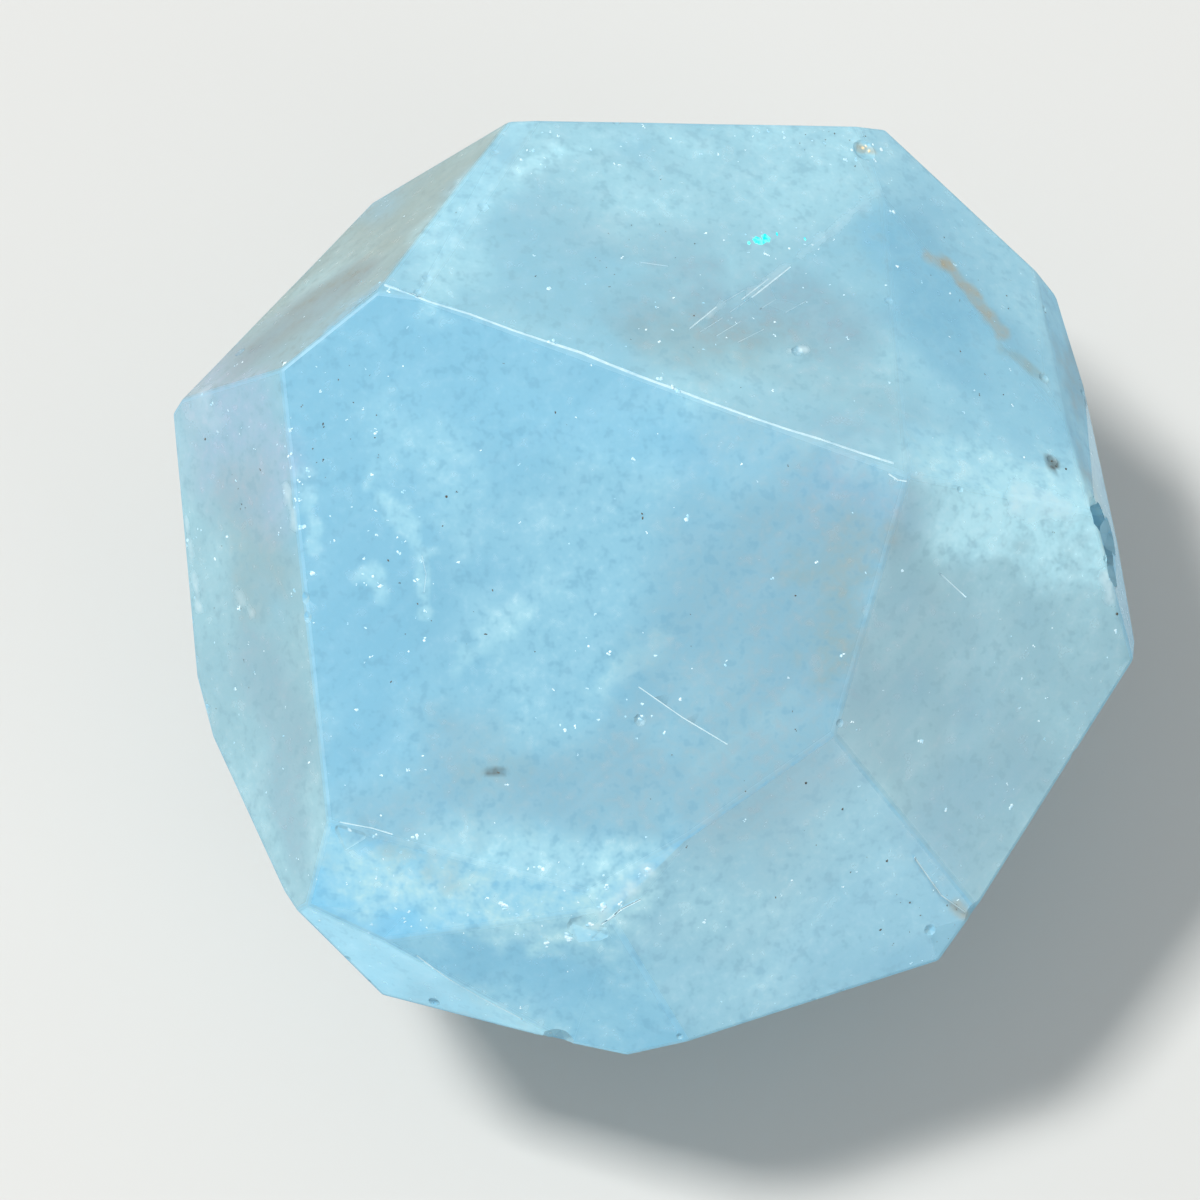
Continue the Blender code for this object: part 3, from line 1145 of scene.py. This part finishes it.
            amounts[mark.stain] = 1.0 - (1.0 - amounts[mark.stain]) * (1.0 - amount)
        for name, stains in MASKS.items():
            colours = np.ones((len(places), 4))
            colours[:, :3] = 0.0
            for channel, stain in enumerate(stains):
                colours[:, channel] = amounts[stain]
            layer = data.attributes.new(name, "FLOAT_COLOR", "POINT")
            layer.data.foreach_set("color", colours.astype(np.float32).ravel())

    def build(self) -> tuple[bpy.types.Object, Sight]:
        """Make the skin.

        Returns:
            The skin's object, and the sight onto it.
        """
        skin = self.merged()
        whole_sight = Sight(self.view, BVHTree.FromBMesh(skin))
        balls = self.nicks.balls(skin, whole_sight)
        skin = subtract(subtract(skin, balls), groove_bars(whole_sight))
        self.note_wear(skin)
        self.slice(skin)
        self.refine(skin, whole_sight)
        self.lap(skin)
        skin.normal_update()
        self.tint(skin, whole_sight)
        bmesh.ops.triangulate(skin, faces=[face for face in skin.faces if len(face.verts) > 4])
        data = bpy.data.meshes.new(self.name)
        skin.to_mesh(data)
        sight = Sight(self.view, BVHTree.FromBMesh(skin))
        skin.free()
        self.paint(data, whole_sight)
        data.shade_smooth()
        data.set_sharp_from_angle(angle=math.radians(self.sharp_angle))
        made = bpy.data.objects.new(self.name, data)
        bpy.context.scene.collection.objects.link(made)
        return made, sight


@dataclass(frozen=True)
class Cluster:
    """Grains strewn over a window of the photograph: left, top, right, bottom, and how many."""

    window: tuple[float, float, float, float]
    count: int


@dataclass
class Grains:
    """Tiny grains and bright breaks, half sunk in the stone."""

    name: str
    finish: GrainFinish
    spots: tuple[tuple[float, float, float], ...] = ()
    clusters: tuple[Cluster, ...] = ()
    size: tuple[float, float] = (0.02, 0.05)
    widths: tuple[float, float] = (0.6, 1.0)
    depths: tuple[float, float] = (0.4, 1.0)
    flatness: float = 0.4
    sink: float = 0.4
    sprig: int = 1
    everywhere: int = 0
    seed: int = 3

    def build(self, sight: Sight, groups: Groups, stone: bpy.types.Object) -> bpy.types.Object:
        """Make the grains as one piece.

        Args:
            sight: Finds the grains' places.
            groups: The shared node groups.
            stone: The skin, for the grains that lie all over it.

        Returns:
            The piece.
        """
        rng = random.Random(self.seed)
        seats = [(*sight.hit((column, row)), radius) for column, row, radius in self.spots]
        for cluster in self.clusters:
            left, top, right, bottom = cluster.window
            for _ in range(cluster.count):
                pixel = (rng.uniform(left, right), rng.uniform(top, bottom))
                if sight.sees(pixel):
                    seats.append((*sight.hit(pixel), rng.uniform(*self.size)))
        faces = list(stone.data.polygons)
        areas = [face.area for face in faces]
        for face in rng.choices(faces, areas, k=self.everywhere):
            seats.append((face.center.copy(), face.normal.copy(), rng.uniform(*self.size)))
        grains = bmesh.new()
        for place, normal, radius in seats:
            upright = normal.to_track_quat("Z", "Y").to_matrix().to_4x4()
            for _ in range(rng.randint(1, self.sprig)):
                turn = upright @ Matrix.Rotation(rng.uniform(0, math.pi), 4, "Z")
                wide = radius * rng.uniform(*self.widths) * MM
                shape = Matrix.Diagonal((wide, wide * rng.uniform(*self.depths), wide * self.flatness, 1))
                aside = upright.to_3x3() @ Vector((rng.uniform(-1, 1), rng.uniform(-1, 1), 0.0)) * radius * MM
                seat = place - normal * wide * self.flatness * self.sink
                if self.sprig > 1:
                    seat = seat + aside
                bmesh.ops.create_icosphere(grains, subdivisions=1, radius=1.0,
                                           matrix=Matrix.Translation(seat) @ turn @ shape)
        low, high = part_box(STONE_NODE)
        for vert in grains.verts:
            for axis in range(3):
                vert.co[axis] = min(max(vert.co[axis], low[axis]), high[axis])
        data = bpy.data.meshes.new(self.name)
        grains.to_mesh(data)
        grains.free()
        data.materials.append(self.finish.build(groups))
        made = bpy.data.objects.new(self.name, data)
        bpy.context.scene.collection.objects.link(made)
        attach(made, ROOT_BODY)
        return made


# White grains: frosted chips, and painted glints, bright specks standing in for the sparkle of the polish
FROST_AND_GLINT_GRAINS = Grains(
    "frost_and_glint_grains",
    GrainFinish("frost_and_glint_grains", srgb(158, 210, 230), srgb(228, 248, 253), patch=0.22, roughness=0.45),
    spots=(
        (378, 284, 0.06), (388, 290, 0.06), (552, 343, 0.1), (660, 380, 0.08), (673, 390, 0.1),
        (751, 417, 0.07), (285, 363, 0.08), (236, 365, 0.05), (203, 395, 0.06), (212, 405, 0.06),
        (689, 518, 0.08), (634, 459, 0.07), (609, 653, 0.06), (681, 698, 0.07), (641, 717, 0.08),
        (627, 718, 0.05), (726, 663, 0.06), (424, 639, 0.05), (868, 572, 0.07), (842, 655, 0.06),
        (653, 871, 0.13), (349, 830, 0.06), (375, 835, 0.06), (415, 838, 0.07), (425, 835, 0.05),
        (541, 868, 0.07), (500, 900, 0.1), (505, 908, 0.09), (565, 935, 0.12), (570, 940, 0.1),
        (600, 907, 0.11), (620, 905, 0.07), (893, 212, 0.07), (1011, 808, 0.08), (920, 742, 0.07),
        (313, 573, 0.07), (290, 430, 0.06), (285, 492, 0.06), (240, 608, 0.05), (530, 150, 0.09),
        (522, 160, 0.06), (548, 290, 0.09), (545, 945, 0.08), (590, 925, 0.08), (850, 151, 0.07),
        (846, 160, 0.06), (874, 160, 0.05), (881, 150, 0.06), (290, 455, 0.07), (294, 500, 0.06),
        (302, 528, 0.08), (377, 510, 0.06), (380, 585, 0.07), (374, 575, 0.06),
    ),
    clusters=(
        Cluster((540, 124, 880, 165), 30), Cluster((285, 440, 312, 535), 13),
        Cluster((180, 500, 202, 620), 9), Cluster((190, 380, 300, 620), 18),
        Cluster((365, 490, 430, 640), 15), Cluster((320, 340, 440, 700), 18),
        Cluster((345, 850, 600, 950), 54), Cluster((1000, 620, 1060, 840), 8),
        Cluster((560, 610, 700, 760), 13), Cluster((300, 300, 900, 900), 36),
        Cluster((880, 200, 1060, 480), 18), Cluster((620, 230, 860, 350), 30),
        Cluster((740, 225, 830, 290), 15), Cluster((230, 640, 330, 880), 13),
        Cluster((700, 780, 960, 1000), 14), Cluster((1100, 560, 1130, 640), 6),
        Cluster((520, 130, 560, 175), 8), Cluster((600, 865, 660, 925), 13),
    ),
    size=(0.018, 0.046),
    sprig=4,
    everywhere=210,
)

DARK_GRAINS = Grains(
    "dark_grains",
    GrainFinish("dark_grains", srgb(52, 54, 50), srgb(96, 92, 80), roughness=0.6),
    spots=(
        (804, 783, 0.06), (843, 808, 0.06), (888, 862, 0.07), (880, 931, 0.06), (795, 596, 0.04),
        (644, 516, 0.06), (498, 773, 0.04), (1118, 612, 0.07), (1066, 467, 0.06), (1050, 460, 0.06),
        (1056, 465, 0.05), (866, 137, 0.05), (835, 133, 0.04), (850, 141, 0.04), (325, 425, 0.06),
        (445, 495, 0.05), (457, 493, 0.04), (387, 560, 0.05), (391, 681, 0.06), (282, 364, 0.05),
        (352, 401, 0.04), (260, 470, 0.04), (206, 440, 0.05), (312, 450, 0.04), (485, 634, 0.05),
        (556, 412, 0.04),
    ),
    clusters=(
        Cluster((300, 350, 380, 470), 14), Cluster((800, 128, 880, 150), 8),
        Cluster((900, 900, 960, 945), 12), Cluster((640, 700, 1000, 900), 14),
        Cluster((210, 400, 250, 700), 12), Cluster((380, 490, 500, 700), 8),
        Cluster((600, 220, 760, 320), 10), Cluster((930, 260, 1060, 400), 10),
    ),
    size=(0.015, 0.035),
    sprig=2,
    everywhere=90,
    seed=5,
)

# The flakes' cyan glow is painted light
FLAKES = Grains(
    "iridescent_flakes",
    GrainFinish("iridescent_flakes", srgb(0, 208, 236), srgb(120, 244, 214), patch=0.12, roughness=0.15,
                painted_glow=0.25),
    spots=(
        (757, 240, 0.24), (766, 238, 0.24), (762, 242, 0.2), (777, 234, 0.1), (805, 239, 0.08),
        (749, 243, 0.09),
    ),
    flatness=0.25,
)

# Gold-white grains in a pit at the top: the white pit, with a painted highlight over it
PIT_GRAINS_AND_HIGHLIGHT = Grains(
    "pit_grains_and_highlight",
    GrainFinish("pit_grains_and_highlight", srgb(226, 200, 150), srgb(255, 248, 222), patch=0.1),
    spots=((863, 148, 0.09), (869, 151, 0.08), (866, 146, 0.06)),
)


# The studio


@dataclass(frozen=True)
class Lamp:
    """A soft square lamp aimed at the stone."""

    name: str
    place: tuple[float, float, float]
    size: float
    power: float
    colour: Colour = (1.0, 1.0, 1.0)

    def build(self, target: Vector) -> bpy.types.Object:
        """Make the lamp.

        Args:
            target: Where it points.

        Returns:
            The lamp's object.
        """
        light = bpy.data.lights.new(self.name, "AREA")
        light.size = self.size
        light.energy = self.power
        light.color = self.colour
        lamp = bpy.data.objects.new(self.name, light)
        lamp.location = self.place
        lamp.rotation_euler = (target - Vector(self.place)).to_track_quat("-Z", "Y").to_euler()
        bpy.context.scene.collection.objects.link(lamp)
        return lamp


@dataclass(frozen=True)
class Studio:
    """A pale floor under soft light."""

    floor_size: float = 2.0
    floor_colour: Colour = srgb(204, 203, 199)
    floor_roughness: float = 0.9
    sky: Colour = srgb(236, 240, 244)
    sky_strength: float = 0.6
    lamps: tuple[Lamp, ...] = (
        Lamp("key", (-0.24, 0.1, 0.5), 0.1, 2.9),
        Lamp("fill", (0.45, -0.45, 0.3), 0.4, 0.8),
    )

    def build(self, target: Vector) -> None:
        """Make the floor, the lamps and the sky.

        Args:
            target: The stone's middle.
        """
        floor_mesh = bmesh.new()
        bmesh.ops.create_grid(floor_mesh, x_segments=1, y_segments=1, size=self.floor_size / 2)
        data = bpy.data.meshes.new("floor")
        floor_mesh.to_mesh(data)
        floor_mesh.free()
        floor = bpy.data.objects.new("floor", data)
        bpy.context.scene.collection.objects.link(floor)
        paper = bpy.data.materials.new("floor")
        paper.use_nodes = True
        shader = paper.node_tree.nodes["Principled BSDF"]
        shader.inputs["Base Color"].default_value = (*self.floor_colour, 1.0)
        shader.inputs["Roughness"].default_value = self.floor_roughness
        data.materials.append(paper)
        for lamp in self.lamps:
            lamp.build(target)
        world = bpy.data.worlds.new("studio")
        world.use_nodes = True
        background = world.node_tree.nodes["Background"]
        background.inputs["Color"].default_value = (*self.sky, 1.0)
        background.inputs["Strength"].default_value = self.sky_strength
        bpy.context.scene.world = world


def main() -> None:
    """Build the stone and the studio, and report each piece."""
    logging.basicConfig(level=logging.INFO, format="%(name)s: %(message)s")
    view = PhotoView()
    view.build()
    groups = Groups()
    stone, sight = Stone(view).build()
    LOG.info("%s has %d faces", stone.name, len(stone.data.polygons))
    stone.data.materials.append(BerylFinish().build(groups))
    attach(stone, ROOT_BODY)
    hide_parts(STONE_NODE)
    for grains in (FROST_AND_GLINT_GRAINS, DARK_GRAINS, FLAKES, PIT_GRAINS_AND_HIGHLIGHT):
        piece = grains.build(sight, groups, stone)
        LOG.info("%s has %d faces", piece.name, len(piece.data.polygons))
    Studio().build(view.stone_middle)
    bpy.context.scene.view_settings.view_transform = "Standard"


if __name__ == "__main__":
    main()
